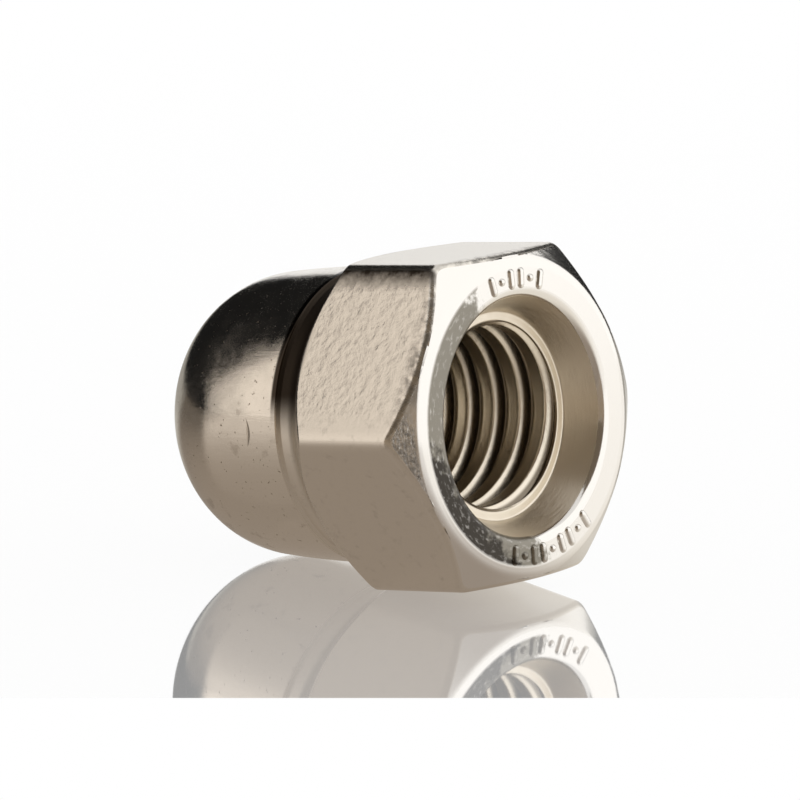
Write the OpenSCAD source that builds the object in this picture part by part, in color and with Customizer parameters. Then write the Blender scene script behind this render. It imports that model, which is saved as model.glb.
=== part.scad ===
// Domed cap nut, cold forged and tapped blind, lying on its side as it comes to rest.
// Millimetres. The origin is the centre of the bearing face, +Z is up, and the open end looks
// along +X and a little upwards, because the nut leans back on its dome.
// Each outline is drawn as [radius, distance back from the bearing face] and turned about the axis.

/* [Hexagon] */
// Width across the flats
across_flats = 12; // [11:0.1:14]
// Distance from the bearing face to the back edge of a flat, at the middle of the flat
hex_height = 5.9; // [5:0.1:7.5]
// How far the rounded corner of the hexagon falls short of a sharp one
corner_loss = 0.1; // [0.05:0.01:0.3]
// Angle of the front corner chamfer from the plane of the bearing face
front_chamfer = 35; // [25:1:50]
// Angle of the back corner chamfer from the plane of the bearing face
back_chamfer = 46; // [25:1:55]

/* [Bearing face] */
// How far the front chamfer's circle lies inside the flats
chamfer_inset = 0.21; // [0.02:0.01:0.3]
// Radial width of the shallow bevel around the bearing ring
bevel_width = 0.3; // [0.1:0.05:0.6]
// Angle of that bevel from the plane of the bearing face
bevel_angle = 15; // [5:1:25]

/* [Neck and dome] */
// Depth of the neck below the base of the dome
neck_step = 0.15; // [0.05:0.05:0.4]
// Straight width of the neck, between its fillet and the base of the dome
neck_width = 0.3; // [0.1:0.05:1]
// Radius of the fillet between the back chamfer and the neck
neck_fillet = 0.8; // [0.2:0.1:1.2]
// How far the base of the dome lies inside the flats
dome_inset = 0.5; // [0.3:0.05:1]
// Draft angle of the side of the dome
dome_draft = 2.5; // [1:0.5:8]
// Radius of the shoulder of the dome
shoulder_r = 4.3; // [2:0.1:4.5]
// Radius of the crown of the dome
crown_r = 9; // [7:0.1:14]
// Length over all, from the bearing face to the crown
length = 15; // [13.5:0.1:18]

/* [Thread hole] */
// Nominal diameter of the internal thread
thread_d = 8; // [6:0.1:8.5]
// Pitch of the thread, which sets its minor diameter, and so the wall of the plain bore
thread_pitch = 1.25; // [0.75:0.05:1.5]
// How far the mouth stands outside the thread's nominal radius, at the bearing face
mouth_flare = 0.495; // [0.1:0.005:0.6]
// Radius of the lip between the bearing face and the mouth
lip_r = 0.15; // [0.05:0.01:0.3]
// Angle of the mouth's wall from the axis
mouth_angle = 25; // [10:1:30]
// Depth of the mouth, before the shoulder that leads into the bore
mouth_depth = 1.3; // [0.8:0.1:1.6]
// Angle of that shoulder from the axis
lead_angle = 45; // [30:1:60]
// Point angle of the drill that made the blind end
drill_angle = 120; // [90:1:140]
// Metal left between the drill point and the crown
end_wall = 2.1; // [1:0.1:3]

/* [Smoothness] */
// Turn of an arc between two of its points, in degrees
arc_step = 4; // [2:1:15]

/* [Hidden] */
$fn = 120;
stainless = [0.73, 0.69, 0.62];
clear_cut = 1;

hex_r = across_flats / 2;
sharp_corner_r = across_flats / sqrt(3);
corner_r = sharp_corner_r - corner_loss;
bevel_r = hex_r - chamfer_inset;
seat_r = bevel_r - bevel_width;
bevel_back = bevel_width * tan(bevel_angle);
front_corner = bevel_back + (corner_r - bevel_r) * tan(front_chamfer);
back_corner = hex_height - (corner_r - hex_r) * tan(back_chamfer);

dome_r = hex_r - dome_inset;
neck_r = dome_r - neck_step;
neck_root = hex_height + (hex_r - neck_r) * tan(back_chamfer);
fillet_tangent = neck_fillet / tan((90 + back_chamfer) / 2);
fillet_centre = [neck_r + neck_fillet, neck_root + fillet_tangent];
dome_base = fillet_centre[1] + neck_width + neck_step;

// The shoulder's arc touches the drafted side and the crown's arc, so its centre lies one radius
// inside the side's line, at the difference of the two radii from the crown's centre.
crown_centre = [0, length - crown_r];
side_dir = [-sin(dome_draft), cos(dome_draft)];
side_in = [dome_r, dome_base] - shoulder_r * [cos(dome_draft), sin(dome_draft)];
to_side = side_in - crown_centre;
along_side = -to_side * side_dir
    + sqrt(pow(to_side * side_dir, 2) - to_side * to_side + pow(crown_r - shoulder_r, 2));
shoulder_centre = side_in + along_side * side_dir;
crown_edge = atan2(shoulder_centre[1] - crown_centre[1], shoulder_centre[0]);

// A metric thread's crests lie five eighths of its sharp triangle's height inside the nominal radius.
sharp_height = thread_pitch * sqrt(3) / 2;
bore_r = thread_d / 2 - sharp_height * 5 / 8;
mouth_r = thread_d / 2 + mouth_flare;
lip_tangent = lip_r / tan((90 + mouth_angle) / 2);
mouth_floor_r = mouth_r - mouth_depth * tan(mouth_angle);
bore_start = mouth_depth + (mouth_floor_r - bore_r) / tan(lead_angle);
drill_point = length - end_wall;
bore_end = drill_point - bore_r / tan(drill_angle / 2);

// The nut rests on the back edge of its lowest flat and on the shoulder of the dome: the floor is
// the line from that edge that touches the shoulder's arc.
rest_edge = [hex_r, hex_height];
to_shoulder = shoulder_centre - rest_edge;
rest_tilt = atan2(-to_shoulder[0], to_shoulder[1]) - asin(shoulder_r / norm(to_shoulder));

// Points of an arc about a centre, from one angle to another
function arc(centre, radius, from, to) =
    let (steps = ceil(abs(to - from) / arc_step))
    [for (i = [0:steps]) let (a = from + (to - from) * i / steps) centre + radius * [cos(a), sin(a)]];

// Half outline of the blank as it is forged and turned, with no flats yet
blank_outline = concat(
    [[0, 0], [seat_r, 0], [bevel_r, bevel_back], [corner_r, front_corner], [corner_r, back_corner]],
    arc(fillet_centre, neck_fillet, 270 - back_chamfer, 180),
    [[neck_r, dome_base - neck_step], [dome_r, dome_base]],
    arc(shoulder_centre, shoulder_r, dome_draft, crown_edge),
    arc(crown_centre, crown_r, crown_edge, 90)
);

// Half outline of the hole: mouth, lead-in shoulder, bore at the minor diameter and drill point
hole_outline = concat(
    [[0, -clear_cut], [mouth_r + lip_tangent, -clear_cut]],
    arc([mouth_r + lip_tangent, lip_r], lip_r, 270, 180 + mouth_angle),
    [[mouth_floor_r, mouth_depth], [bore_r, bore_start], [bore_r, bore_end], [0, drill_point]]
);

// The six flats, with one of them facing down
module flats() {
    rotate([0, 0, 30])
        linear_extrude(height = length)
            circle(r = sharp_corner_r, $fn = 6);
}

// The whole nut on its own axis, with the bearing face at z = 0 and the dome above it
module upright_nut() {
    difference() {
        intersection() {
            rotate_extrude() polygon(blank_outline);
            flats();
        }
        rotate_extrude() polygon(hole_outline);
    }
}

module cap_nut() {
    color(stainless)
        rotate([0, -90 - rest_tilt, 0])
            upright_nut();
}

cap_nut();
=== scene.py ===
import math

import bpy
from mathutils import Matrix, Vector


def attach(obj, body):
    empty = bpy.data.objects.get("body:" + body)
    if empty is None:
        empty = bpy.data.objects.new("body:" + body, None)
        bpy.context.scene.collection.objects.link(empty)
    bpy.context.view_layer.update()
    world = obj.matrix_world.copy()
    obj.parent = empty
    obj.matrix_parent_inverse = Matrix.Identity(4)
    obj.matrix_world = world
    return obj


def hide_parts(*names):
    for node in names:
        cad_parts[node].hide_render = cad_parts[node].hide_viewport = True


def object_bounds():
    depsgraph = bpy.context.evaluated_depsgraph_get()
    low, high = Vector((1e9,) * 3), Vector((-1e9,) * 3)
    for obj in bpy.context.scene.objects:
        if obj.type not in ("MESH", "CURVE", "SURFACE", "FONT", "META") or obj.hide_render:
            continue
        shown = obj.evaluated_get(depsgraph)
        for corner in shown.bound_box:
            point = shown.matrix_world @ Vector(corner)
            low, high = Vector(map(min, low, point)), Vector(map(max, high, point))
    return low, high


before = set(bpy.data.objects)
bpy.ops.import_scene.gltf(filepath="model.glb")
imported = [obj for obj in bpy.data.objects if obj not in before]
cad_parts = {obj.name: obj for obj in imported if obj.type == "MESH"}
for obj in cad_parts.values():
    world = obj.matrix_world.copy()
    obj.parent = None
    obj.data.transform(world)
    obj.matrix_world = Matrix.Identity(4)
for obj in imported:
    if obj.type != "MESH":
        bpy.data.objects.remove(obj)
cad_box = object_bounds()


# ---------------------------------------------------------------- Outline of the blank and its hole
# The nut is one piece of stainless steel, cold forged from a slug: hexagon, neck and dome in one
# blow, then its bearing face and mouth are turned and its blind hole drilled. The half outline is
# drawn in millimetres, with the soft edges that tumbling leaves.

# Sizes as in the CAD's source, apart from the side of the dome, which bulges a little here, and the
# mouth, which is 0.15 mm deeper and has a narrow ledge at its floor
HEX_R = 12.0 / 2
HEX_HEIGHT = 5.9
CHAMFER_INSET = 0.21
FRONT_CHAMFER = math.radians(35)
BACK_CHAMFER = math.radians(46)
BEVEL_WIDTH = 0.3
BEVEL_ANGLE = math.radians(15)
DOME_INSET = 0.5
DOME_DRAFT = math.radians(1.2)
BARREL_R = 52.0
NECK_STEP = 0.15
NECK_WIDTH = 0.3
NECK_FILLET = 0.8
SHOULDER_R = 4.3
CROWN_R = 9.0
LENGTH = 15.0
MOUTH_R = 4.495
MOUTH_ANGLE = math.radians(25)
MOUTH_DEPTH = 1.45
LEDGE_WIDTH = 0.3
LEAD_ANGLE = math.radians(45)
DRILL_ANGLE = math.radians(120)
END_WALL = 2.1
THREAD_R = 4.0
THREAD_PITCH = 1.25
BORE_R = THREAD_R - THREAD_PITCH * math.sqrt(3) / 2 * 5 / 8

# Radii of the soft edges
DOME_EDGE = 0.06
BACK_EDGE = 0.15
FRONT_EDGE = 0.38
BEVEL_EDGE = 0.8
SEAT_EDGE = 0.25
LIP = 0.36
MOUTH_EDGE = 0.08

# How close to its ends a straight run has a point that keeps the shading of its soft edges off it:
# this far, and no more than this share of the run
HOLD = 0.03
HOLD_SHARE = 0.2

# Finishes, in the order of the outline
DOME, FORGED, TURNED, MOUTH, THREAD = range(5)

# A point of the outline: radius, distance back from the bearing face, how far it moves outwards
# and back with each millimetre of the hexagon's reach, turns of the thread's grid, and finish.
outline = []


def lay(radius, back, reach=(0.0, 0.0), finish=DOME, turns=-1.0):
    outline.append((radius, back, *reach, turns, finish))


def lay_line(radius, back, steps, reach=(0.0, 0.0), finish=DOME):
    """A straight run from the last point to this one, with a holding point close to each end."""
    first = Vector(outline[-1][:4])
    last = Vector((radius, back, *reach))
    hold = min(HOLD_SHARE, HOLD / max((last - first).length, HOLD))
    for share in [hold] + [i / steps for i in range(1, steps)] + [1 - hold, 1.0]:
        point = first.lerp(last, share)
        lay(point[0], point[1], (point[2], point[3]), finish)


def lay_arc(centre, radius, start, end, steps, reach=(0.0, 0.0), finish=DOME):
    for i in range(steps + 1):
        turn = start + (end - start) * i / steps
        lay(centre[0] + radius * math.cos(turn), centre[1] + radius * math.sin(turn), reach, finish)


def lay_edge(before, corner, after, radius, run_steps, arc_steps, reach=(0.0, 0.0), finish=DOME):
    """The straight run from the last point towards a corner, and the arc that rounds the corner."""
    into = (corner - before).normalized()
    away = (after - corner).normalized()
    turn = into.angle_signed(away)
    start = corner - into * radius * math.tan(abs(turn) / 2)
    centre = start - math.copysign(radius, turn) * Vector((-into.y, into.x))
    first = math.atan2(start.y - centre.y, start.x - centre.x)
    if run_steps:
        lay_line(*start, run_steps, reach, finish)
    lay_arc(centre, radius, first, first - turn, arc_steps, reach, finish)


# Corners of the blank, from the crown to the bearing face
dome_corner = Vector((HEX_R - DOME_INSET, 0.0))
neck_r = dome_corner.x - NECK_STEP
neck_root = HEX_HEIGHT + (HEX_R - neck_r) * math.tan(BACK_CHAMFER)
fillet_tangent = NECK_FILLET / math.tan((math.pi / 2 + BACK_CHAMFER) / 2)
fillet = Vector((neck_r + NECK_FILLET, neck_root + fillet_tangent))
dome_corner.y = fillet.y + NECK_WIDTH + NECK_STEP
neck_corner = Vector((neck_r, fillet.y + NECK_WIDTH))
bevel_corner = Vector((HEX_R - CHAMFER_INSET, BEVEL_WIDTH * math.tan(BEVEL_ANGLE)))
seat_corner = Vector((bevel_corner.x - BEVEL_WIDTH, 0.0))
back_corner = Vector((HEX_R, HEX_HEIGHT))
front_corner = Vector((HEX_R, bevel_corner.y + CHAMFER_INSET * math.tan(FRONT_CHAMFER)))
back_reach = (1.0, -math.tan(BACK_CHAMFER))
front_reach = (1.0, math.tan(FRONT_CHAMFER))

# The side of the dome bulges like a barrel. The shoulder's arc touches the barrel's and the
# crown's, so its centre lies where two circles about their centres cross.
crown = Vector((0.0, LENGTH - CROWN_R))
barrel = dome_corner - BARREL_R * Vector((math.cos(DOME_DRAFT), math.sin(DOME_DRAFT)))
from_barrel = BARREL_R - SHOULDER_R
from_crown = CROWN_R - SHOULDER_R
apart = (crown - barrel).length
towards_crown = (crown - barrel) / apart
along = (from_barrel ** 2 - from_crown ** 2 + apart ** 2) / (2 * apart)
aside = math.sqrt(from_barrel ** 2 - along ** 2)
shoulder = barrel + along * towards_crown + aside * Vector((-towards_crown.y, towards_crown.x))
crown_edge = math.atan2(shoulder.y - crown.y, shoulder.x)
side_edge = math.atan2(shoulder.y - barrel.y, shoulder.x - barrel.x)

lay_arc(crown, CROWN_R, math.pi / 2, crown_edge, 8)
lay_arc(shoulder, SHOULDER_R, crown_edge, side_edge, 28)
lay_arc(barrel, BARREL_R, side_edge, DOME_DRAFT + DOME_EDGE / BARREL_R, 12)
barrel_end = Vector(outline[-1][:2])
lay_edge(barrel_end, dome_corner, neck_corner, DOME_EDGE, 0, 4)
lay_edge(dome_corner, neck_corner, Vector((neck_r, fillet.y)), DOME_EDGE, 2, 4, finish=FORGED)
lay_line(neck_r, fillet.y, 3, finish=FORGED)
lay_arc(fillet, NECK_FILLET, math.pi, 1.5 * math.pi - BACK_CHAMFER, 12, finish=FORGED)
neck_foot = Vector((neck_r, neck_root))
lay_edge(neck_foot, back_corner, front_corner, BACK_EDGE, 8, 5, back_reach, FORGED)
lay_edge(back_corner, front_corner, bevel_corner, FRONT_EDGE, 14, 6, front_reach, FORGED)
lay_edge(front_corner, bevel_corner, seat_corner, BEVEL_EDGE, 6, 4, finish=TURNED)

# Bearing ring, lip, mouth with a narrow ledge at its floor, and the cone that leads into the thread
mouth_floor = Vector((MOUTH_R - MOUTH_DEPTH * math.tan(MOUTH_ANGLE), MOUTH_DEPTH))
ledge_end = mouth_floor - Vector((LEDGE_WIDTH, 0.0))
bore_top = Vector((BORE_R, MOUTH_DEPTH + (ledge_end.x - BORE_R) / math.tan(LEAD_ANGLE)))
mouth_corner = Vector((MOUTH_R, 0.0))
lay_edge(bevel_corner, seat_corner, mouth_corner, SEAT_EDGE, 3, 3, finish=TURNED)
lay_edge(seat_corner, mouth_corner, mouth_floor, LIP, 5, 8, finish=TURNED)
lay_edge(mouth_corner, mouth_floor, ledge_end, MOUTH_EDGE, 8, 4, finish=MOUTH)
lay_edge(mouth_floor, ledge_end, bore_top, MOUTH_EDGE, 2, 3, finish=MOUTH)

# The thread's rows follow its helix. One turn of rows fans out from the shoulder's edge before
# them and the last turn closes up again, so that the grid's last column meets its first one.
THREAD_TURNS = 7
THREAD_DEPTH = 0.445
CREST_SHARE = 0.46
ROOT_SHARE = 1 / 8
THREAD_PHASE = 0.45
CREST_ROWS, FLANK_ROWS, ROOT_ROWS = 4, 8, 3
flank = (1 - CREST_SHARE - ROOT_SHARE) / 2
root_start = CREST_SHARE / 2 + flank
row_shares = ([CREST_SHARE * (i / CREST_ROWS - 0.5) for i in range(CREST_ROWS)]
              + [CREST_SHARE / 2 + flank * i / FLANK_ROWS for i in range(FLANK_ROWS)]
              + [root_start + ROOT_SHARE * i / ROOT_ROWS for i in range(ROOT_ROWS)]
              + [1 - root_start + flank * i / FLANK_ROWS for i in range(FLANK_ROWS)])
row_shares = sorted((share - THREAD_PHASE) % 1 for share in row_shares)
thread_start = outline[-1][1]
thread_end = thread_start + THREAD_PITCH * THREAD_TURNS
for share in row_shares:
    if share > 0:
        lay(BORE_R, thread_start, finish=THREAD, turns=share)
for turn in range(THREAD_TURNS):
    for share in row_shares:
        back = thread_start + THREAD_PITCH * (turn + share)
        lay(BORE_R, back, finish=THREAD, turns=1 + turn + share)

# Plain bore and drill point
drill_point = LENGTH - END_WALL
bore_end = drill_point - BORE_R / math.tan(DRILL_ANGLE / 2)
lay(BORE_R, thread_end, finish=THREAD)
lay_line(BORE_R, bore_end, 2, finish=THREAD)
lay_line(0.0, drill_point, 4, finish=THREAD)


# ---------------------------------------------------------------- Raised marks on the bearing ring
# Plain bars and dots stand on the bearing ring, formed by the heading die with the rest of the
# blank. They are strokes on the ring, each with a round ridge along it that is half sunk in it.

MARK_R = 5.06
MARK_LENGTH = 0.8
MARK_HALF_WIDTH = 0.17
MARK_RISE = 0.12
RIDGE_POINTS = 25
RIDGE_SIDES = 16

# Bearing of each mark in degrees from +Y, and its share of a full bar's length
mark_bearings = [
    (74, 1.0), (80, 0.4), (86, 1.0), (92, 1.0), (98, 0.4), (104, 1.0),
    (256, 1.0), (262, 0.4), (268, 1.0), (274, 1.0), (280, 0.4), (286, 1.0), (292, 1.0), (298, 0.4),
    (304, 1.0)]
marks = []
for bearing, share in mark_bearings:
    turn = math.radians(bearing)
    for radius in (MARK_R - MARK_LENGTH * share / 2, MARK_R + MARK_LENGTH * share / 2):
        marks.append((radius * math.cos(turn), radius * math.sin(turn), 0.0))


# ---------------------------------------------------------------- Cap nut
# The whole nut in one solid piece. The tree turns the half outline about the nut's axis: at each
# bearing the hexagon's rounded reach carries the flats and their chamfers outwards, and the rows
# in the bore follow a right-hand M8 helix.

nut_mesh = bpy.data.meshes.new("cap_nut_outline")
points = [(radius, back, turns) for radius, back, _, _, turns, _ in outline]
strokes = [(len(points) + i, len(points) + i + 1) for i in range(0, len(marks), 2)]
nut_mesh.from_pydata(points + marks, strokes, [])
reaches = [value for row in outline for value in (row[2], row[3], 0.0)] + [0.0] * 3 * len(marks)
nut_mesh.attributes.new("reach", "FLOAT_VECTOR", "POINT").data.foreach_set("vector", reaches)
finishes = [float(row[5]) for row in outline] + [float(TURNED)] * len(marks)
mark_flags = [0.0] * len(outline) + [1.0] * len(marks)
for name, values in (("finish", finishes), ("mark", mark_flags)):
    nut_mesh.attributes.new(name, "FLOAT", "POINT").data.foreach_set("value", values)


def add(tree, kind, inputs=(), **settings):
    """Adds a node with its settings, and links or fills its inputs, named or by place."""
    node = tree.nodes.new(kind)
    for name, value in settings.items():
        setattr(node, name, value)
    sockets = [socket for socket in node.inputs if socket.enabled]
    for key, value in dict(inputs).items():
        socket = sockets[key] if isinstance(key, int) else next(s for s in sockets if s.name == key)
        if isinstance(value, bpy.types.Node):
            value = next(out for out in value.outputs if out.enabled)
        if isinstance(value, bpy.types.NodeSocket):
            tree.links.new(value, socket)
        else:
            socket.default_value = value
    return node


def linear(colour):
    """An sRGB hex colour as linear red, green, blue and alpha."""
    parts = [int(colour[i:i + 2], 16) / 255 for i in (1, 3, 5)]
    lights = [part / 12.92 if part <= 0.04045 else ((part + 0.055) / 1.055) ** 2.4 for part in parts]
    return lights + [1.0]


def new_material(name):
    """A material with an empty tree."""
    material = bpy.data.materials.new(name)
    material.use_nodes = True
    material.node_tree.nodes.clear()
    return material, material.node_tree


# The CAD's tilt: the nut lies on the back edge of its lowest flat and on the shoulder of its dome
LEAN = math.radians(7.4143)
MILLIMETRE = 0.001


def steel(name):
    """A new stainless steel, with the nut's own coordinates in millimetres: X is its axis."""
    material, tree = new_material(name)
    place = add(tree, "ShaderNodeTexCoord").outputs["Object"]
    own = add(tree, "ShaderNodeMapping", {
        "Vector": place, "Rotation": (0.0, LEAN, 0.0), "Scale": (1 / MILLIMETRE,) * 3})
    return material, tree, own


# Burnished stainless steel: the die leaves the dome smooth, so it mirrors the room softly. Drawing
# streaks, eight times longer along the axis than across it, fray the reflections' borders, and small
# pits and stains break them up. The upper half of the dome's foot is painted dark as painted shade
# beside the neck, and one crescent nick is on the dome's side.
STAINLESS = "#DBD5CB"
STAINED = "#9B9183"
# Dark colour painted as shade at the dome's foot, in the neck and along the upper flats' edges
PAINTED_SHADE_COLOUR = "#38312A"
STREAK_STRETCH = (0.35, 3.0, 3.0)
STREAKS_PER_MM = 2.2
STREAK_DEPTH = 0.0000048
STAINS_PER_MM = 0.9
STAINS_SHOWN = {"From Min": 0.6, "From Max": 0.68, "To Max": 0.35}
SPECKS_PER_MM = 7.0
PITS_SHOWN = {"From Min": 0.68, "From Max": 0.74}
PIT_ROUGHNESS = 0.25
BURNISH = {"From Min": 0.35, "From Max": 0.7, "To Min": 0.1, "To Max": 0.23}
DOME_FOOT = {"From Min": -7.62, "From Max": -7.5}
FOOT_UPPER_HALF = {"From Min": 0.2, "From Max": 1.5}
NICK_HEIGHT = 0.1
NICK_BACK = 8.72
NICK_HALF_LENGTH = 0.55
NICK_HALF_WIDTH = 0.09
NICK_CURVE = 0.35
NICK_DEPTH = 0.0003
burnished, tree, own = steel("burnished_stainless_steel")
own_parts = add(tree, "ShaderNodeSeparateXYZ", {0: own}).outputs
streak_space = add(tree, "ShaderNodeMapping", {"Vector": own, "Scale": STREAK_STRETCH})
streaks = add(tree, "ShaderNodeTexNoise", {
    "Vector": streak_space, "Scale": STREAKS_PER_MM, "Detail": 5.0, "Roughness": 0.65})
stains = add(tree, "ShaderNodeTexNoise", {
    "Vector": own, "Scale": STAINS_PER_MM, "Detail": 5.0, "Roughness": 0.6})
specks = add(tree, "ShaderNodeTexNoise", {"Vector": own, "Scale": SPECKS_PER_MM, "Detail": 2.0})
pits = add(tree, "ShaderNodeMapRange", {"Value": specks, **PITS_SHOWN})
stained = add(tree, "ShaderNodeMapRange", {
    "Value": stains, **STAINS_SHOWN}, interpolation_type="SMOOTHSTEP")
marked = add(tree, "ShaderNodeMath", {0: pits, 1: stained}, operation="MAXIMUM")
marked_colour = add(tree, "ShaderNodeMix", {
    "Factor": marked, "A": linear(STAINLESS), "B": linear(STAINED)}, data_type="RGBA")
# Painted shade: the dome's foot is darkened in its upper half, beside the neck
at_foot = add(tree, "ShaderNodeMapRange", {
    "Value": own_parts["X"], **DOME_FOOT}, interpolation_type="SMOOTHSTEP")
high = add(tree, "ShaderNodeMapRange", {
    "Value": own_parts["Z"], **FOOT_UPPER_HALF}, interpolation_type="SMOOTHSTEP")
foot_shade = add(tree, "ShaderNodeMath", {0: at_foot, 1: high}, operation="MULTIPLY")
colour = add(tree, "ShaderNodeMix", {
    "Factor": foot_shade, "A": marked_colour, "B": linear(PAINTED_SHADE_COLOUR)}, data_type="RGBA")
smooth_steel = add(tree, "ShaderNodeMapRange", {"Value": stains, **BURNISH})
roughness = add(tree, "ShaderNodeMath", {
    0: pits, 1: PIT_ROUGHNESS, 2: smooth_steel}, operation="MULTIPLY_ADD")
streaked = add(tree, "ShaderNodeBump", {"Height": streaks, "Distance": STREAK_DEPTH})
nick_along = add(tree, "ShaderNodeMath", {
    0: own_parts["Z"], 1: NICK_HEIGHT}, operation="SUBTRACT")
nick_squared = add(tree, "ShaderNodeMath", {0: nick_along, 1: 2.0}, operation="POWER")
nick_line = add(tree, "ShaderNodeMath", {
    0: nick_squared, 1: NICK_CURVE, 2: own_parts["X"]}, operation="MULTIPLY_ADD")
nick_near = add(tree, "ShaderNodeMath", {0: nick_line, 1: NICK_BACK}, operation="ADD")
nick_off = add(tree, "ShaderNodeMath", {0: nick_near}, operation="ABSOLUTE")
nick_width = add(tree, "ShaderNodeMapRange", {
    "Value": nick_squared, "From Max": NICK_HALF_LENGTH ** 2, "To Min": NICK_HALF_WIDTH, "To Max": 0.0})
nick_inside = add(tree, "ShaderNodeMath", {0: nick_width, 1: nick_off}, operation="SUBTRACT")
nick_left = add(tree, "ShaderNodeMath", {0: own_parts["Y"], 1: 0.0}, operation="LESS_THAN")
nick_depth = add(tree, "ShaderNodeMath", {
    0: nick_inside, 1: nick_left}, operation="MULTIPLY", use_clamp=True)
relief = add(tree, "ShaderNodeBump", {
    "Height": nick_depth, "Distance": NICK_DEPTH, "Normal": streaked}, invert=True)
surface = add(tree, "ShaderNodeBsdfPrincipled", {
    "Base Color": colour, "Metallic": 1.0, "Roughness": roughness, "Normal": relief})
add(tree, "ShaderNodeOutputMaterial", {"Surface": surface})

# Cold-forged stainless steel: pebbled where the flats above the widest corner slid in the die, and
# smooth below it. The pebbles are 0.1 to 0.3 mm across. The neck's upper half is painted dark as
# painted shade, and a mottled painted shade lies along the upper flats' front edges and the left flat's
# top edge.
PEBBLES_PER_MM = 3.0
PEBBLE_DEPTH = 0.000019
PEBBLED_FLATS = {"From Min": 0.3, "From Max": 1.2, "To Min": 0.06, "To Max": 1.0}
BEFORE_NECK = {"From Min": -5.8, "From Max": -5.5}
NECK = {"From Min": -5.7, "From Max": -6.0}
NECK_UPPER_HALF = {"From Min": -0.2, "From Max": 1.5}
NECK_ROUGHNESS = 0.14
FRONT_EDGE_BAND = {"From Min": -1.0, "From Max": -0.45}
FRONT_EDGE_MOTTLE = {"From Min": 0.4, "From Max": 0.62}
FRONT_EDGE_SHADED_SPAN = {"From Min": -0.7, "From Max": 0.2, "To Max": 0.55}
TOP_MOTTLE_PER_MM = 2.2
TOP_MOTTLE_CONTRAST = 1.8
TOP_EDGE = {"From Min": 5.05, "From Max": 5.8, "To Min": -1.0, "To Max": 0.7}
LEFT_FLAT = {"From Min": -3.55, "From Max": -3.4, "To Min": 0.6, "To Max": 0.0}
FORGED_TO_SHADED = {"To Min": 0.23, "To Max": 0.4}
forged, tree, own = steel("cold_forged_stainless_steel")
own_parts = add(tree, "ShaderNodeSeparateXYZ", {0: own}).outputs
upper = add(tree, "ShaderNodeMapRange", {
    "Value": own_parts["Z"], **PEBBLED_FLATS}, interpolation_type="SMOOTHSTEP")
off_neck = add(tree, "ShaderNodeMapRange", {
    "Value": own_parts["X"], **BEFORE_NECK}, interpolation_type="SMOOTHSTEP")
pebbled = add(tree, "ShaderNodeMath", {0: upper, 1: off_neck}, operation="MULTIPLY")
pebbles = add(tree, "ShaderNodeTexNoise", {
    "Vector": own, "Scale": PEBBLES_PER_MM, "Detail": 4.0, "Roughness": 0.55})
relief = add(tree, "ShaderNodeBump", {
    "Strength": pebbled, "Height": pebbles, "Distance": PEBBLE_DEPTH})
# Painted shade: the neck is darkened in its upper half
in_neck = add(tree, "ShaderNodeMapRange", {
    "Value": own_parts["X"], **NECK}, interpolation_type="SMOOTHSTEP")
neck_top = add(tree, "ShaderNodeMapRange", {
    "Value": own_parts["Z"], **NECK_UPPER_HALF}, interpolation_type="SMOOTHSTEP")
neck_shade = add(tree, "ShaderNodeMath", {0: in_neck, 1: neck_top}, operation="MULTIPLY")
# Painted shade: a mottled dark band along the front edges of the upper flats
front_edge = add(tree, "ShaderNodeMapRange", {
    "Value": own_parts["X"], **FRONT_EDGE_BAND}, interpolation_type="SMOOTHSTEP")
mottle = add(tree, "ShaderNodeMapRange", {"Value": pebbles, **FRONT_EDGE_MOTTLE})
above = add(tree, "ShaderNodeMapRange", {
    "Value": own_parts["Z"], **FRONT_EDGE_SHADED_SPAN}, interpolation_type="SMOOTHSTEP")
front_mottle = add(tree, "ShaderNodeMath", {0: front_edge, 1: mottle}, operation="MULTIPLY")
front_shade = add(tree, "ShaderNodeMath", {0: front_mottle, 1: above}, operation="MULTIPLY")
# Painted shade: a mottled dark band along the left flat's top edge
top_edge = add(tree, "ShaderNodeMapRange", {"Value": own_parts["Z"], **TOP_EDGE})
top_mottle = add(tree, "ShaderNodeTexNoise", {
    "Vector": own, "Scale": TOP_MOTTLE_PER_MM, "Detail": 6.0, "Roughness": 0.75})
mottled_top = add(tree, "ShaderNodeMath", {
    0: top_mottle, 1: TOP_MOTTLE_CONTRAST, 2: top_edge}, operation="MULTIPLY_ADD")
on_left_flat = add(tree, "ShaderNodeMapRange", {"Value": own_parts["Y"], **LEFT_FLAT})
top_shade = add(tree, "ShaderNodeMath", {
    0: mottled_top, 1: on_left_flat}, operation="MULTIPLY", use_clamp=True)
edge_shade = add(tree, "ShaderNodeMath", {0: front_shade, 1: top_shade}, operation="MAXIMUM")
shade_amount = add(tree, "ShaderNodeMath", {0: neck_shade, 1: edge_shade}, operation="MAXIMUM")
colour = add(tree, "ShaderNodeMix", {
    "Factor": shade_amount, "A": linear(STAINLESS), "B": linear(PAINTED_SHADE_COLOUR)}, data_type="RGBA")
dull = add(tree, "ShaderNodeMapRange", {"Value": shade_amount, **FORGED_TO_SHADED})
roughness = add(tree, "ShaderNodeMath", {
    0: in_neck, 1: NECK_ROUGHNESS, 2: dull}, operation="MULTIPLY_ADD")
surface = add(tree, "ShaderNodeBsdfPrincipled", {
    "Base Color": colour, "Metallic": 1.0, "Roughness": roughness, "Normal": relief})
add(tree, "ShaderNodeOutputMaterial", {"Surface": surface})

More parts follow.
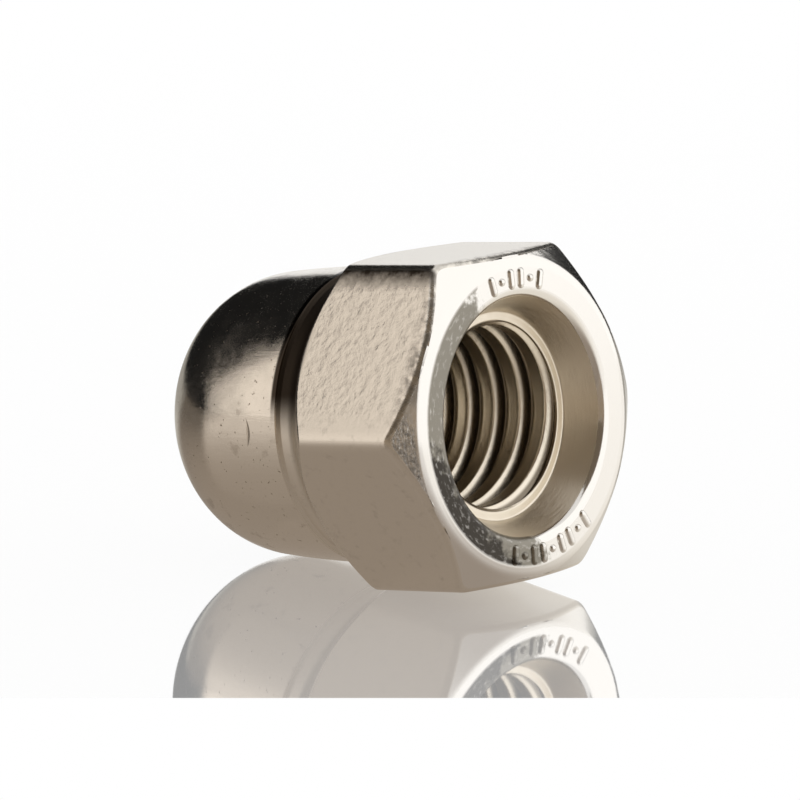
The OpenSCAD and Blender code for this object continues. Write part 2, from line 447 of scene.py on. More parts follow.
# Turned stainless steel: faced on a lathe and bright. On the ring's left the tool left it grey with
# bright flecks, twice as long along its path as across, and at the lower left the die's black skin
# is still on it. The chamfer of the left corner is spotted with that skin, and both it and the top
# right corner's are finely dented.
FACED = "#DEDAD4"
SCUFFED = "#858076"
BLACKENED = "#3F3B36"
LEFTWARDS = (0.0, -0.97, -0.26)
LOW_LEFTWARDS = (0.0, -0.77, -0.64)
TOP_RIGHTWARDS = (0.0, 0.5, 0.87)
RING_RIM = {"From Min": 5.38, "From Max": 5.5, "To Min": 1.0, "To Max": 0.0}
PATCHES_PER_MM = 1.6
SCUFF_WANDER = 3.2
SCUFF_START = {"From Min": 2.2, "From Max": 2.9}
BLACK_WANDER = 2.4
BLACK_START = {"From Min": 5.2, "From Max": 5.8}
FLECK_ARC_R = 2.4
FLECKS_PER_MM = 6.0
FLECKS_BARE = {"From Min": 0.54, "From Max": 0.7, "To Min": 1.0, "To Max": 0.6}
LEFT_CORNER = {"From Min": 5.35, "From Max": 5.9}
TOP_CORNER = {"From Min": 5.5, "From Max": 5.8}
BEHIND_BEVEL = {"From Min": -0.14, "From Max": -0.22}
SPOTS_PER_MM = 6.0
SPOTS_SHOWN = {"From Min": 0.3, "From Max": 0.66, "To Max": 0.8}
FACED_TO_SCUFFED = {"To Min": 0.15, "To Max": 0.32}
DENT_DEPTH = 0.000012
turned_face, tree, own = steel("turned_stainless_steel")
own_parts = add(tree, "ShaderNodeSeparateXYZ", {0: own}).outputs
to_left, to_low_left, to_top_right = [
    add(tree, "ShaderNodeVectorMath", {0: own, 1: way}, operation="DOT_PRODUCT").outputs["Value"]
    for way in (LEFTWARDS, LOW_LEFTWARDS, TOP_RIGHTWARDS)]
patches = add(tree, "ShaderNodeTexNoise", {
    "Vector": own, "Scale": PATCHES_PER_MM, "Detail": 5.0, "Roughness": 0.65})
leftward = add(tree, "ShaderNodeMath", {0: own_parts["Y"], 1: -1.0}, operation="MULTIPLY")
bearing = add(tree, "ShaderNodeMath", {0: own_parts["Z"], 1: leftward}, operation="ARCTAN2")
across_axis = add(tree, "ShaderNodeVectorMath", {0: own, 1: (0.0, 1.0, 1.0)}, operation="MULTIPLY")
off_axis = add(tree, "ShaderNodeVectorMath", {0: across_axis}, operation="LENGTH").outputs["Value"]
on_ring = add(tree, "ShaderNodeMapRange", {"Value": off_axis, **RING_RIM})
round_ring = add(tree, "ShaderNodeMath", {0: bearing, 1: FLECK_ARC_R}, operation="MULTIPLY")
tool_space = add(tree, "ShaderNodeCombineXYZ", {
    "X": round_ring, "Y": off_axis, "Z": own_parts["X"]})
flecks = add(tree, "ShaderNodeTexNoise", {
    "Vector": tool_space, "Scale": FLECKS_PER_MM, "Detail": 4.0, "Roughness": 0.65})
left_edge = add(tree, "ShaderNodeMath", {
    0: patches, 1: SCUFF_WANDER, 2: to_left}, operation="MULTIPLY_ADD")
black_edge = add(tree, "ShaderNodeMath", {
    0: patches, 1: BLACK_WANDER, 2: to_low_left}, operation="MULTIPLY_ADD")
scuffs = add(tree, "ShaderNodeMapRange", {
    "Value": left_edge, **SCUFF_START}, interpolation_type="SMOOTHSTEP")
low_black = add(tree, "ShaderNodeMapRange", {
    "Value": black_edge, **BLACK_START}, interpolation_type="SMOOTHSTEP")
bare = add(tree, "ShaderNodeMapRange", {"Value": flecks, **FLECKS_BARE})
ground = add(tree, "ShaderNodeMath", {0: scuffs, 1: on_ring}, operation="MULTIPLY")
ring_scuffed = add(tree, "ShaderNodeMath", {0: ground, 1: bare}, operation="MULTIPLY")
left_corner = add(tree, "ShaderNodeMapRange", {
    "Value": to_left, **LEFT_CORNER}, interpolation_type="SMOOTHSTEP")
top_corner = add(tree, "ShaderNodeMapRange", {
    "Value": to_top_right, **TOP_CORNER}, interpolation_type="SMOOTHSTEP")
behind_bevel = add(tree, "ShaderNodeMapRange", {"Value": own_parts["X"], **BEHIND_BEVEL})
left_ground = add(tree, "ShaderNodeMath", {0: left_corner, 1: behind_bevel}, operation="MULTIPLY")
top_ground = add(tree, "ShaderNodeMath", {0: top_corner, 1: behind_bevel}, operation="MULTIPLY")
spots = add(tree, "ShaderNodeTexNoise", {
    "Vector": own, "Scale": SPOTS_PER_MM, "Detail": 5.0, "Roughness": 0.7})
spotted = add(tree, "ShaderNodeMapRange", {"Value": spots, **SPOTS_SHOWN})
corner_spots = add(tree, "ShaderNodeMath", {0: left_ground, 1: spotted}, operation="MULTIPLY")
scuffed = add(tree, "ShaderNodeMath", {0: ring_scuffed, 1: corner_spots}, operation="MAXIMUM")
black = add(tree, "ShaderNodeMath", {0: low_black, 1: corner_spots}, operation="MAXIMUM")
grey = add(tree, "ShaderNodeMix", {
    "Factor": black, "A": linear(SCUFFED), "B": linear(BLACKENED)}, data_type="RGBA")
colour = add(tree, "ShaderNodeMix", {
    "Factor": scuffed, "A": linear(FACED), "B": grey}, data_type="RGBA")
roughness = add(tree, "ShaderNodeMapRange", {"Value": scuffed, **FACED_TO_SCUFFED})
corner_dents = add(tree, "ShaderNodeMath", {0: left_ground, 1: top_ground}, operation="MAXIMUM")
dented = add(tree, "ShaderNodeMath", {0: ground, 1: corner_dents}, operation="MAXIMUM")
relief = add(tree, "ShaderNodeBump", {
    "Strength": dented, "Height": flecks, "Distance": DENT_DEPTH})
surface = add(tree, "ShaderNodeBsdfPrincipled", {
    "Base Color": colour, "Metallic": 1.0, "Roughness": roughness, "Normal": relief})
add(tree, "ShaderNodeOutputMaterial", {"Surface": surface})

# Bored stainless steel: the mouth's wall is cut by a form tool and is satin, a little warmer than
# the outside, with fine chatter round the axis
WARMER_STEEL = "#DAD0BF"
CHATTER_STRETCH = (6.0, 0.8, 0.8)
CHATTER_PER_MM = 2.0
CHATTER_DEPTH = 0.000006
SATIN = {"From Min": 0.3, "From Max": 0.7, "To Min": 0.28, "To Max": 0.4}
bored, tree, own = steel("bored_stainless_steel")
chatter_space = add(tree, "ShaderNodeMapping", {"Vector": own, "Scale": CHATTER_STRETCH})
chatter = add(tree, "ShaderNodeTexNoise", {
    "Vector": chatter_space, "Scale": CHATTER_PER_MM, "Detail": 4.0, "Roughness": 0.6})
relief = add(tree, "ShaderNodeBump", {"Height": chatter, "Distance": CHATTER_DEPTH})
roughness = add(tree, "ShaderNodeMapRange", {"Value": chatter, **SATIN})
surface = add(tree, "ShaderNodeBsdfPrincipled", {
    "Base Color": linear(WARMER_STEEL), "Metallic": 1.0, "Roughness": roughness, "Normal": relief})
add(tree, "ShaderNodeOutputMaterial", {"Surface": surface})

# Tapped stainless steel: the thread's flanks are torn a little by the tap, and its roots are
# painted dark as painted shade
ROOT_SHADE = "#544839"
ROOT = {"From Min": 3.44, "From Max": 3.56, "To Max": 0.8}
PAST_CONE = {"From Min": -1.62, "From Max": -1.75}
TEARS_PER_MM = 5.0
TEAR_DEPTH = 0.00001
TAPPED_ROUGHNESS = 0.26
tapped, tree, own = steel("tapped_stainless_steel")
own_parts = add(tree, "ShaderNodeSeparateXYZ", {0: own}).outputs
tears = add(tree, "ShaderNodeTexNoise", {
    "Vector": own, "Scale": TEARS_PER_MM, "Detail": 4.0, "Roughness": 0.6})
relief = add(tree, "ShaderNodeBump", {"Height": tears, "Distance": TEAR_DEPTH})
across_axis = add(tree, "ShaderNodeVectorMath", {0: own, 1: (0.0, 1.0, 1.0)}, operation="MULTIPLY")
off_axis = add(tree, "ShaderNodeVectorMath", {0: across_axis}, operation="LENGTH").outputs["Value"]
# Painted shade: the thread's roots are darkened past the lead-in cone
deep = add(tree, "ShaderNodeMapRange", {
    "Value": off_axis, **ROOT}, interpolation_type="SMOOTHSTEP")
past_cone = add(tree, "ShaderNodeMapRange", {"Value": own_parts["X"], **PAST_CONE})
in_root = add(tree, "ShaderNodeMath", {0: deep, 1: past_cone}, operation="MULTIPLY")
colour = add(tree, "ShaderNodeMix", {
    "Factor": in_root, "A": linear(WARMER_STEEL), "B": linear(ROOT_SHADE)}, data_type="RGBA")
surface = add(tree, "ShaderNodeBsdfPrincipled", {
    "Base Color": colour, "Metallic": 1.0, "Roughness": TAPPED_ROUGHNESS, "Normal": relief})
add(tree, "ShaderNodeOutputMaterial", {"Surface": surface})

# The tree that turns the outline, with its sizes as inputs
SIDES = 6
CREST_SOFTNESS = 0.08
ROOT_SOFTNESS = 0.2
MOUTH_LIMIT = 0.5
GRID_MERGE = 0.00001
RIDGE_MERGE = 0.0001
nut_tree = bpy.data.node_groups.new("cap_nut_turning", "GeometryNodeTree")
nut_tree.interface.new_socket("Outline", in_out="INPUT", socket_type="NodeSocketGeometry")
nut_sizes = {
    "Hexagon reach": HEX_R,
    "Corner rounding": 0.62,
    "Columns to a side": 30,
    "Crowding at corners": 0.8,
    "Thread start": thread_start,
    "Thread turns": float(THREAD_TURNS),
    "Pitch": THREAD_PITCH,
    "Thread phase": THREAD_PHASE,
    "Crest radius": BORE_R,
    "Crest share": CREST_SHARE / 2,
    "Flank share": flank,
    "Thread depth": THREAD_DEPTH,
    "Run-out start": 8.3,
    "Run-out end": 9.4,
    "Lead-in end": bore_top.y,
    "Lead-in slope": math.tan(LEAD_ANGLE),
    "Mark half width": MARK_HALF_WIDTH,
    "Mark sink": MARK_RISE - MARK_HALF_WIDTH,
    "Lean": -LEAN,
}
nut_sockets = {}
for name, value in nut_sizes.items():
    kind = "NodeSocketInt" if isinstance(value, int) else "NodeSocketFloat"
    nut_sockets[name] = nut_tree.interface.new_socket(name, in_out="INPUT", socket_type=kind)
nut_tree.interface.new_socket("Nut", in_out="OUTPUT", socket_type="NodeSocketGeometry")
given = add(nut_tree, "NodeGroupInput").outputs

# The sheet that is turned: a column for each bearing, a row for each point of the outline
mark_flag = add(nut_tree, "GeometryNodeInputNamedAttribute", {"Name": "mark"})
parted = add(nut_tree, "GeometryNodeSeparateGeometry", {
    "Geometry": given["Outline"], "Selection": mark_flag})
half = parted.outputs["Inverted"]
row_count = add(nut_tree, "GeometryNodeAttributeDomainSize", {"Geometry": half})
columns = add(nut_tree, "FunctionNodeIntegerMath", {
    0: given["Columns to a side"], 1: SIDES}, operation="MULTIPLY")
column_posts = add(nut_tree, "FunctionNodeIntegerMath", {0: columns, 1: 1}, operation="ADD")
sheet = add(nut_tree, "GeometryNodeMeshGrid", {
    "Size X": 1.0, "Size Y": 1.0, "Vertices X": column_posts, "Vertices Y": row_count})
index = add(nut_tree, "GeometryNodeInputIndex")
row = add(nut_tree, "FunctionNodeIntegerMath", {0: index, 1: row_count}, operation="MODULO")
column = add(nut_tree, "FunctionNodeIntegerMath", {0: index, 1: row_count}, operation="DIVIDE_FLOOR")
place = add(nut_tree, "GeometryNodeInputPosition")
point = add(nut_tree, "GeometryNodeSampleIndex", {
    "Geometry": half, "Value": place, "Index": row}, data_type="FLOAT_VECTOR")
reach_read = add(nut_tree, "GeometryNodeInputNamedAttribute", {
    "Name": "reach"}, data_type="FLOAT_VECTOR")
moved = add(nut_tree, "GeometryNodeSampleIndex", {
    "Geometry": half, "Value": reach_read, "Index": row}, data_type="FLOAT_VECTOR")
finish_read = add(nut_tree, "GeometryNodeInputNamedAttribute", {"Name": "finish"})
finish = add(nut_tree, "GeometryNodeSampleIndex", {
    "Geometry": half, "Value": finish_read, "Index": row})
point_parts = add(nut_tree, "ShaderNodeSeparateXYZ", {0: point}).outputs
moved_parts = add(nut_tree, "ShaderNodeSeparateXYZ", {0: moved}).outputs

# Bearings crowd towards the six corners
sides_passed = add(nut_tree, "ShaderNodeMath", {
    0: column, 1: given["Columns to a side"]}, operation="DIVIDE")
whole_sides = add(nut_tree, "ShaderNodeMath", {0: sides_passed}, operation="FLOOR")
along_side = add(nut_tree, "ShaderNodeMath", {0: sides_passed}, operation="FRACT")
side_angle = add(nut_tree, "ShaderNodeMath", {0: along_side, 1: 2 * math.pi}, operation="MULTIPLY")
side_sine = add(nut_tree, "ShaderNodeMath", {0: side_angle}, operation="SINE")
crowding = add(nut_tree, "ShaderNodeMath", {
    0: given["Crowding at corners"], 1: 2 * math.pi}, operation="DIVIDE")
shift = add(nut_tree, "ShaderNodeMath", {0: side_sine, 1: crowding}, operation="MULTIPLY")
crowded = add(nut_tree, "ShaderNodeMath", {0: along_side, 1: shift}, operation="SUBTRACT")
sides_turned = add(nut_tree, "ShaderNodeMath", {0: whole_sides, 1: crowded}, operation="ADD")
turned = add(nut_tree, "ShaderNodeMath", {0: sides_turned, 1: float(SIDES)}, operation="DIVIDE")
bearing = add(nut_tree, "ShaderNodeMath", {0: turned, 1: -2 * math.pi}, operation="MULTIPLY")

# Reach of the rounded hexagon at that bearing: a straight side, or an arc about the corner's centre
other_corner = add(nut_tree, "ShaderNodeMath", {0: 1.0, 1: crowded}, operation="SUBTRACT")
corner_share = add(nut_tree, "ShaderNodeMath", {0: crowded, 1: other_corner}, operation="MINIMUM")
off_corner = add(nut_tree, "ShaderNodeMath", {0: corner_share, 1: math.pi / 3}, operation="MULTIPLY")
off_middle = add(nut_tree, "ShaderNodeMath", {0: math.pi / 6, 1: off_corner}, operation="SUBTRACT")
middle_cosine = add(nut_tree, "ShaderNodeMath", {0: off_middle}, operation="COSINE")
straight = add(nut_tree, "ShaderNodeMath", {
    0: given["Hexagon reach"], 1: middle_cosine}, operation="DIVIDE")
small_reach = add(nut_tree, "ShaderNodeMath", {
    0: given["Hexagon reach"], 1: given["Corner rounding"]}, operation="SUBTRACT")
arc_centre = add(nut_tree, "ShaderNodeMath", {
    0: small_reach, 1: math.cos(math.pi / 6)}, operation="DIVIDE")
corner_cosine = add(nut_tree, "ShaderNodeMath", {0: off_corner}, operation="COSINE")
corner_sine = add(nut_tree, "ShaderNodeMath", {0: off_corner}, operation="SINE")
arc_along = add(nut_tree, "ShaderNodeMath", {0: arc_centre, 1: corner_cosine}, operation="MULTIPLY")
arc_across = add(nut_tree, "ShaderNodeMath", {0: arc_centre, 1: corner_sine}, operation="MULTIPLY")
across_squared = add(nut_tree, "ShaderNodeMath", {0: arc_across, 1: 2.0}, operation="POWER")
rounding_squared = add(nut_tree, "ShaderNodeMath", {
    0: given["Corner rounding"], 1: 2.0}, operation="POWER")
rest_squared = add(nut_tree, "ShaderNodeMath", {
    0: rounding_squared, 1: across_squared}, operation="SUBTRACT")
arc_rest = add(nut_tree, "ShaderNodeMath", {0: rest_squared}, operation="SQRT")
rounded = add(nut_tree, "ShaderNodeMath", {0: arc_along, 1: arc_rest}, operation="ADD")
small_half = add(nut_tree, "ShaderNodeMath", {
    0: small_reach, 1: math.tan(math.pi / 6)}, operation="MULTIPLY")
side_end = add(nut_tree, "ShaderNodeMath", {
    0: small_half, 1: given["Hexagon reach"]}, operation="ARCTAN2")
on_side = add(nut_tree, "FunctionNodeCompare", {"A": off_middle, "B": side_end}, operation="LESS_THAN")
reach = add(nut_tree, "GeometryNodeSwitch", {
    "Switch": on_side, "False": rounded, "True": straight}, input_type="FLOAT")
excess = add(nut_tree, "ShaderNodeMath", {0: reach, 1: given["Hexagon reach"]}, operation="SUBTRACT")
blank_radius = add(nut_tree, "ShaderNodeMath", {
    0: excess, 1: moved_parts["X"], 2: point_parts["X"]}, operation="MULTIPLY_ADD")
blank_back = add(nut_tree, "ShaderNodeMath", {
    0: excess, 1: moved_parts["Y"], 2: point_parts["Y"]}, operation="MULTIPLY_ADD")

# Rows of the thread climb one pitch to the turn, with a fan of rows before and after them
turns = point_parts["Z"]
opening = add(nut_tree, "ShaderNodeMath", {0: turns, 1: 1.0}, operation="MULTIPLY", use_clamp=True)
past_end = add(nut_tree, "ShaderNodeMath", {
    0: turns, 1: given["Thread turns"]}, operation="SUBTRACT", use_clamp=True)
climb_share = add(nut_tree, "ShaderNodeMath", {0: opening, 1: past_end}, operation="SUBTRACT")
climb = add(nut_tree, "ShaderNodeMath", {0: climb_share, 1: turned}, operation="MULTIPLY")
back = add(nut_tree, "ShaderNodeMath", {
    0: climb, 1: given["Pitch"], 2: blank_back}, operation="MULTIPLY_ADD")
depth_in = add(nut_tree, "ShaderNodeMath", {0: back, 1: given["Thread start"]}, operation="SUBTRACT")
pitches_in = add(nut_tree, "ShaderNodeMath", {0: depth_in, 1: given["Pitch"]}, operation="DIVIDE")
unturned = add(nut_tree, "ShaderNodeMath", {0: pitches_in, 1: turned}, operation="SUBTRACT")
phase = add(nut_tree, "ShaderNodeMath", {0: unturned, 1: given["Thread phase"]}, operation="ADD")
off_crest = add(nut_tree, "ShaderNodeMath", {0: phase, 1: 0.5}, operation="PINGPONG")
past_crest = add(nut_tree, "ShaderNodeMath", {
    0: off_crest, 1: given["Crest share"]}, operation="SUBTRACT")
up_flank = add(nut_tree, "ShaderNodeMath", {0: past_crest, 1: given["Flank share"]}, operation="DIVIDE")
soft_crest = add(nut_tree, "ShaderNodeMath", {
    0: up_flank, 1: 0.0, 2: CREST_SOFTNESS}, operation="SMOOTH_MAX")
soft_root = add(nut_tree, "ShaderNodeMath", {
    0: soft_crest, 1: 1.0, 2: ROOT_SOFTNESS}, operation="SMOOTH_MIN")
run_out = add(nut_tree, "ShaderNodeMapRange", {
    "Value": back, "From Min": given["Run-out start"], "From Max": given["Run-out end"],
    "To Min": 1.0, "To Max": 0.0}, interpolation_type="SMOOTHSTEP")
cut = add(nut_tree, "ShaderNodeMath", {0: soft_root, 1: run_out}, operation="MULTIPLY")
thread_radius = add(nut_tree, "ShaderNodeMath", {
    0: cut, 1: given["Thread depth"], 2: given["Crest radius"]}, operation="MULTIPLY_ADD")
to_lead_end = add(nut_tree, "ShaderNodeMath", {0: given["Lead-in end"], 1: back}, operation="SUBTRACT")
lead_rise = add(nut_tree, "ShaderNodeMath", {0: to_lead_end, 1: 0.0}, operation="MAXIMUM")
start_rise = add(nut_tree, "ShaderNodeMath", {
    0: given["Lead-in end"], 1: given["Thread start"]}, operation="SUBTRACT")
lead_radius, start_radius = [
    add(nut_tree, "ShaderNodeMath", {
        0: rise, 1: given["Lead-in slope"], 2: given["Crest radius"]}, operation="MULTIPLY_ADD")
    for rise in (lead_rise, start_rise)]
mouth_limit = add(nut_tree, "ShaderNodeMath", {
    0: depth_in, 1: MOUTH_LIMIT, 2: start_radius}, operation="MULTIPLY_ADD")
under_mouth = add(nut_tree, "ShaderNodeMath", {0: thread_radius, 1: mouth_limit}, operation="MINIMUM")
hole_radius = add(nut_tree, "ShaderNodeMath", {0: under_mouth, 1: lead_radius}, operation="MAXIMUM")
in_thread = add(nut_tree, "FunctionNodeCompare", {"A": turns, "B": 0.0}, operation="GREATER_THAN")
radius = add(nut_tree, "GeometryNodeSwitch", {
    "Switch": in_thread, "False": blank_radius, "True": hole_radius}, input_type="FLOAT")

# Each point goes to its radius and bearing about the axis, with the open end towards +X
ahead = add(nut_tree, "ShaderNodeMath", {0: back, 1: -1.0}, operation="MULTIPLY")
bearing_cosine = add(nut_tree, "ShaderNodeMath", {0: bearing}, operation="COSINE")
bearing_sine = add(nut_tree, "ShaderNodeMath", {0: bearing}, operation="SINE")
across = add(nut_tree, "ShaderNodeMath", {0: radius, 1: bearing_cosine}, operation="MULTIPLY")
upward = add(nut_tree, "ShaderNodeMath", {0: radius, 1: bearing_sine}, operation="MULTIPLY")
nut_point = add(nut_tree, "ShaderNodeCombineXYZ", {"X": ahead, "Y": across, "Z": upward})
finished = add(nut_tree, "GeometryNodeStoreNamedAttribute", {
    "Geometry": sheet, "Name": "finish", "Value": finish})
turned_sheet = add(nut_tree, "GeometryNodeSetPosition", {"Geometry": finished, "Position": nut_point})
outward = add(nut_tree, "GeometryNodeFlipFaces", {"Mesh": turned_sheet})
closed = add(nut_tree, "GeometryNodeMergeByDistance", {"Geometry": outward, "Distance": GRID_MERGE})

# Marks: a ridge along each stroke, with round ends
stroke_lines = add(nut_tree, "GeometryNodeMeshToCurve", {"Mesh": parted.outputs["Selection"]})
stroke_points = add(nut_tree, "GeometryNodeResampleCurve", {
    "Curve": stroke_lines, "Count": RIDGE_POINTS})
spline_length = add(nut_tree, "GeometryNodeSplineLength")
along_stroke = add(nut_tree, "GeometryNodeSplineParameter").outputs["Length"]
to_far_end = add(nut_tree, "ShaderNodeMath", {0: spline_length, 1: along_stroke}, operation="SUBTRACT")
to_end = add(nut_tree, "ShaderNodeMath", {0: to_far_end, 1: along_stroke}, operation="MINIMUM")
end_share = add(nut_tree, "ShaderNodeMath", {
    0: to_end, 1: given["Mark half width"]}, operation="DIVIDE", use_clamp=True)
short_of = add(nut_tree, "ShaderNodeMath", {0: 1.0, 1: end_share}, operation="SUBTRACT")
short_squared = add(nut_tree, "ShaderNodeMath", {0: short_of, 1: 2.0}, operation="POWER")
round_squared = add(nut_tree, "ShaderNodeMath", {0: 1.0, 1: short_squared}, operation="SUBTRACT")
round_end = add(nut_tree, "ShaderNodeMath", {0: round_squared}, operation="SQRT")
ridge_scale = add(nut_tree, "ShaderNodeMath", {
    0: round_end, 1: given["Mark half width"]}, operation="MULTIPLY")
ridge_profile = add(nut_tree, "GeometryNodeCurvePrimitiveCircle", {
    "Resolution": RIDGE_SIDES, "Radius": 1.0})
ridges = add(nut_tree, "GeometryNodeCurveToMesh", {
    "Curve": stroke_points, "Profile Curve": ridge_profile, "Scale": ridge_scale, "Fill Caps": True})
ring_place = add(nut_tree, "GeometryNodeInputPosition")
ring_parts = add(nut_tree, "ShaderNodeSeparateXYZ", {0: ring_place}).outputs
standing = add(nut_tree, "ShaderNodeMath", {0: ring_parts["Z"], 1: given["Mark sink"]}, operation="ADD")
ring_point = add(nut_tree, "ShaderNodeCombineXYZ", {
    "X": standing, "Y": ring_parts["X"], "Z": ring_parts["Y"]})
marks_placed = add(nut_tree, "GeometryNodeSetPosition", {"Geometry": ridges, "Position": ring_point})
marks_closed = add(nut_tree, "GeometryNodeMergeByDistance", {
    "Geometry": marks_placed, "Distance": RIDGE_MERGE})
marks_finished = add(nut_tree, "GeometryNodeStoreNamedAttribute", {
    "Geometry": marks_closed, "Name": "finish", "Value": float(TURNED)})

joined = add(nut_tree, "GeometryNodeJoinGeometry", {"Geometry": closed})
nut_tree.links.new(marks_finished.outputs["Geometry"], joined.inputs["Geometry"])
smooth = add(nut_tree, "GeometryNodeSetShadeSmooth", {"Geometry": joined})
leaning = add(nut_tree, "ShaderNodeCombineXYZ", {"Y": given["Lean"]})
laid_down = add(nut_tree, "GeometryNodeTransform", {
    "Geometry": smooth, "Rotation": leaning, "Scale": (MILLIMETRE,) * 3})
finished_nut = add(nut_tree, "GeometryNodeRealizeInstances", {"Geometry": laid_down})
zone = add(nut_tree, "GeometryNodeInputNamedAttribute", {"Name": "finish"})
for number, material in enumerate((burnished, forged, turned_face, bored, tapped)):
    in_zone = add(nut_tree, "FunctionNodeCompare", {
        "A": zone, "B": number - 0.5}, operation="GREATER_THAN")
    finished_nut = add(nut_tree, "GeometryNodeSetMaterial", {
        "Geometry": finished_nut, "Selection": in_zone, "Material": material})
add(nut_tree, "NodeGroupOutput", {"Nut": finished_nut})

nut_source = bpy.data.objects.new("cap_nut_source", nut_mesh)
bpy.context.collection.objects.link(nut_source)
turning = nut_source.modifiers.new("turning", "NODES")
turning.node_group = nut_tree
for name, socket in nut_sockets.items():
    turning[socket.identifier] = nut_sizes[name]
evaluated = nut_source.evaluated_get(bpy.context.evaluated_depsgraph_get())
nut = bpy.data.objects.new("domed_cap_nut", bpy.data.meshes.new_from_object(evaluated))
bpy.context.collection.objects.link(nut)
bpy.data.objects.remove(nut_source)
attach(nut, "root")
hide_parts("cap_nut")


# ---------------------------------------------------------------- Studio
# The nut lies on a glossy white acrylic sheet. Curved cards stand round it: soft boxes at its left
# and right, and dark ones that only the metal sees, which give it the photograph's contrasts.

FLOOR_REACH = 3.0
SHEET_EDGE_ROW = 698
FLOOR_WHITE = "#FAFAFA"
# Painted shadow and painted light of the sheet's body, as the metal sees it
FLOOR_PAINTED_SHADOW = "#A5998D"
FLOOR_PAINTED_LIGHT = "#FFFAF0"
MIRROR_TO_METAL = 0.6
CLEAR_OF_SHEET = 0.00002
WHITE = (1.0, 1.0, 1.0, 1.0)
nut_middle = (cad_box[0] + cad_box[1]) / 2
floor_height = cad_box[0].z - CLEAR_OF_SHEET

camera_data = bpy.data.cameras.new("camera")
camera_data.lens = 371.447
camera_data.sensor_width = 36.0
camera = bpy.data.objects.new("camera", camera_data)
camera.location = (0.187776, -0.226129, 0.060225)
camera.rotation_euler = [math.radians(angle) for angle in (78.5228, -0.7102, 40.7437)]
bpy.context.collection.objects.link(camera)
bpy.context.scene.camera = camera

# The sheet's front edge is where the photograph's picture of it ends
PICTURE = 800
focal = camera_data.lens / camera_data.sensor_width * PICTURE
edge_points = []
for column in (0, PICTURE):
    in_view = Vector((column - PICTURE / 2, PICTURE / 2 - SHEET_EDGE_ROW, -focal))
    ray = camera.rotation_euler.to_matrix() @ in_view
    edge_points.append(camera.location + ray * (floor_height - camera.location.z) / ray.z)
edge_middle = (edge_points[0] + edge_points[1]) / 2
edge_right = (edge_points[1] - edge_points[0]).normalized()
edge_away = Vector((-edge_right.y, edge_right.x, 0.0))


def lay_sheet(name, first, last, material):
    """A flat sheet on the floor, between two distances behind its front edge."""
    mesh = bpy.data.meshes.new(name)
    corners = [edge_middle + FLOOR_REACH * side * edge_right + reach * edge_away
               for side, reach in ((-1, first), (1, first), (1, last), (-1, last))]
    mesh.from_pydata(corners, [], [(0, 1, 2, 3)])
    mesh.materials.append(material)
    sheet = bpy.data.objects.new(name, mesh)
    bpy.context.collection.objects.link(sheet)


# Glossy white acrylic: a white body under a polished skin that mirrors more the flatter one looks at
# it. To the metal the body glows with a painted shadow, dim and warm, at the nut's left, and with a
# painted light, white, beyond its right side, where the soft box stands close.
SKIN_STRAIGHT = 0.04
SKIN_FALL = 4.0
SKIN_FULL = 0.51
SKIN_ROUGHNESS = 0.03
LIT_SIDE = {"From Min": -0.002, "From Max": 0.008}
PLAIN_TO_CAMERA = 0.8


def acrylic_surface(tree):
    """The shader of the acrylic, for the sheet and for the part of it past the photograph's cut."""
    facing = add(tree, "ShaderNodeLayerWeight", {"Blend": 0.5}).outputs["Facing"]
    grazing = add(tree, "ShaderNodeMath", {0: facing, 1: SKIN_FALL}, operation="POWER")
    full_share = add(tree, "ShaderNodeMapRange", {
        "Value": grazing, "From Max": SKIN_FULL, "To Min": SKIN_STRAIGHT, "To Max": 1.0})
    to_camera = add(tree, "ShaderNodeLightPath").outputs["Is Camera Ray"]
    skin_strength = add(tree, "ShaderNodeMapRange", {
        "Value": to_camera, "To Min": MIRROR_TO_METAL, "To Max": 1.0})
    mirror_share = add(tree, "ShaderNodeMath", {0: full_share, 1: skin_strength}, operation="MULTIPLY")
    shaded_body = add(tree, "ShaderNodeBsdfDiffuse", {"Color": linear(FLOOR_WHITE)})
    place = add(tree, "ShaderNodeTexCoord").outputs["Object"]
    place_parts = add(tree, "ShaderNodeSeparateXYZ", {0: place}).outputs
    # Painted shadow and painted light: to all rays but the camera's, the body glows dim at the nut's
    # left and white past its right side
    lit_side = add(tree, "ShaderNodeMapRange", {
        "Value": place_parts["Y"], **LIT_SIDE}, interpolation_type="SMOOTHSTEP")
    lit_colour = add(tree, "ShaderNodeMix", {
        "Factor": lit_side, "A": linear(FLOOR_PAINTED_SHADOW), "B": linear(FLOOR_PAINTED_LIGHT)}, data_type="RGBA")
    body_colour = add(tree, "ShaderNodeMix", {
        "Factor": to_camera, "A": lit_colour, "B": WHITE}, data_type="RGBA")
    plain_body = add(tree, "ShaderNodeEmission", {"Color": body_colour, "Strength": 1.0})
    plain_share = add(tree, "ShaderNodeMapRange", {
        "Value": to_camera, "To Min": 1.0, "To Max": PLAIN_TO_CAMERA})
    body = add(tree, "ShaderNodeMixShader", {0: plain_share, 1: shaded_body, 2: plain_body})
    skin = add(tree, "ShaderNodeBsdfGlossy", {"Color": WHITE, "Roughness": SKIN_ROUGHNESS})
    return add(tree, "ShaderNodeMixShader", {0: mirror_share, 1: body, 2: skin})


acrylic, tree = new_material("glossy_white_acrylic")
add(tree, "ShaderNodeOutputMaterial", {"Surface": acrylic_surface(tree)})
lay_sheet("acrylic_sheet", 0.0, FLOOR_REACH, acrylic)

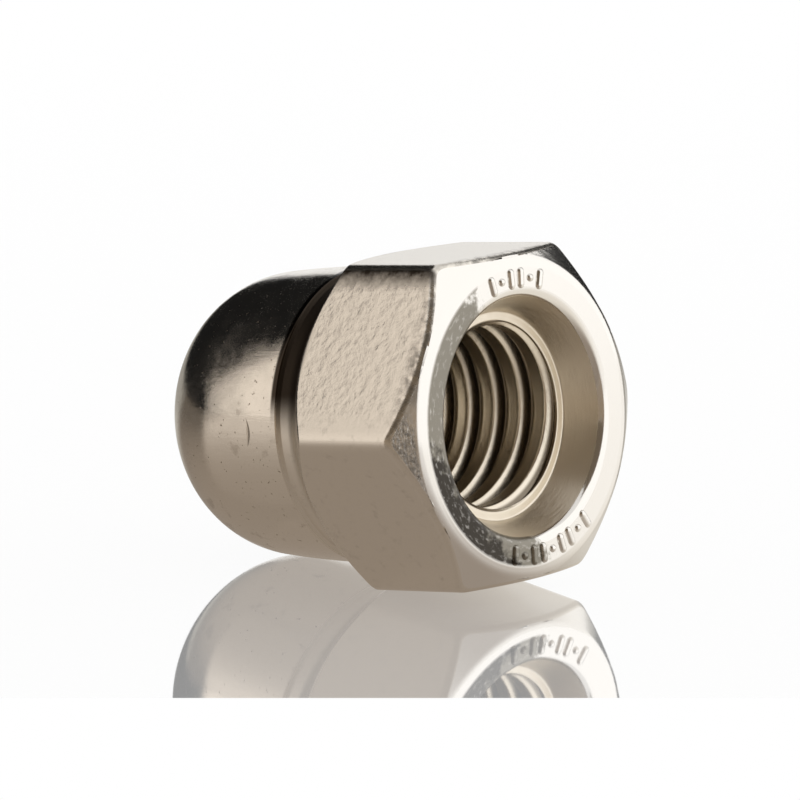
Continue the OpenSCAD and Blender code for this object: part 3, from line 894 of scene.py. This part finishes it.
# In front of the photograph's cut the same sheet is plain white to the eye
cut_off, tree = new_material("plain_white_front")
to_camera = add(tree, "ShaderNodeLightPath").outputs["Is Camera Ray"]
white = add(tree, "ShaderNodeEmission", {"Color": WHITE, "Strength": 1.0})
front = add(tree, "ShaderNodeMixShader", {0: to_camera, 1: acrylic_surface(tree), 2: white})
add(tree, "ShaderNodeOutputMaterial", {"Surface": front})
lay_sheet("front_sheet", -FLOOR_REACH, 0.0, cut_off)

# Cards: name, the bearings between which each stands (degrees, clockwise from straight behind the
# nut), how much further its last bearing reaches at its top, bottom and top above the sheet in
# metres, distance from the nut, brightness, colour, and whether it lights the sheet
CARD_STEP = 4
cards = [
    ("left_soft_box", -125, -88, 21, -0.001, 0.28, 0.25, 1.08, "#FFF5EB", True),
    ("left_flag", -92, -8, 0, -0.001, 1.0, 0.28, 0.012, "#FFFFFF", False),
    ("right_flag", 13, 46, 0, -0.001, 0.30, 0.28, 0.02, "#FFFFFF", False),
    ("right_soft_box", 46.5, 146, 0, -0.001, 0.42, 0.25, 1.4, "#FFFFFF", True),
    ("room_wall", 146, 236, 0, -0.001, 0.10, 0.40, 0.36, "#FFE6C8", False),
    ("room_ceiling", 146, 236, 0, 0.102, 1.2, 0.40, 0.17, "#FFE6C8", False),
]
away = Vector((nut_middle.x - camera.location.x, nut_middle.y - camera.location.y, 0.0)).normalized()
rightwards = Vector((away.y, -away.x, 0.0))
for name, first, last, spread, bottom, top, distance, brightness, colour, lights_sheet in cards:
    steps = math.ceil((last - first) / CARD_STEP)
    posts = []
    for i in range(steps + 1):
        for height, reach in ((bottom, 0), (top, spread)):
            turn = math.radians(first + (last + reach - first) * i / steps)
            foot = nut_middle + distance * (away * math.cos(turn) + rightwards * math.sin(turn))
            posts.append((foot.x, foot.y, floor_height + height))
    panels = [(2 * i, 2 * i + 1, 2 * i + 3, 2 * i + 2) for i in range(steps)]
    card_mesh = bpy.data.meshes.new(name)
    card_mesh.from_pydata(posts, [], panels)
    glow, tree = new_material(name)
    light = add(tree, "ShaderNodeEmission", {"Color": linear(colour), "Strength": brightness})
    add(tree, "ShaderNodeOutputMaterial", {"Surface": light})
    card_mesh.materials.append(glow)
    card = bpy.data.objects.new(name, card_mesh)
    bpy.context.collection.objects.link(card)
    card.visible_camera = False
    card.visible_shadow = False
    card.visible_diffuse = lights_sheet

# The world: plain light, and a white background for what the eye and the metal see past the cards
WORLD_LIGHT = 0.6
world = bpy.data.worlds.new("studio")
bpy.context.scene.world = world
world.use_nodes = True
tree = world.node_tree
tree.nodes.clear()
path = add(tree, "ShaderNodeLightPath").outputs
seen = add(tree, "ShaderNodeMath", {
    0: path["Is Camera Ray"], 1: path["Is Glossy Ray"]}, operation="MAXIMUM")
seen_through = add(tree, "ShaderNodeMath", {
    0: seen, 1: path["Is Transmission Ray"]}, operation="MAXIMUM")
strength = add(tree, "ShaderNodeMapRange", {
    "Value": seen_through, "To Min": WORLD_LIGHT, "To Max": 1.0})
sky = add(tree, "ShaderNodeBackground", {"Color": WHITE, "Strength": strength})
add(tree, "ShaderNodeOutputWorld", {"Surface": sky})

bpy.context.scene.view_settings.view_transform = "Standard"
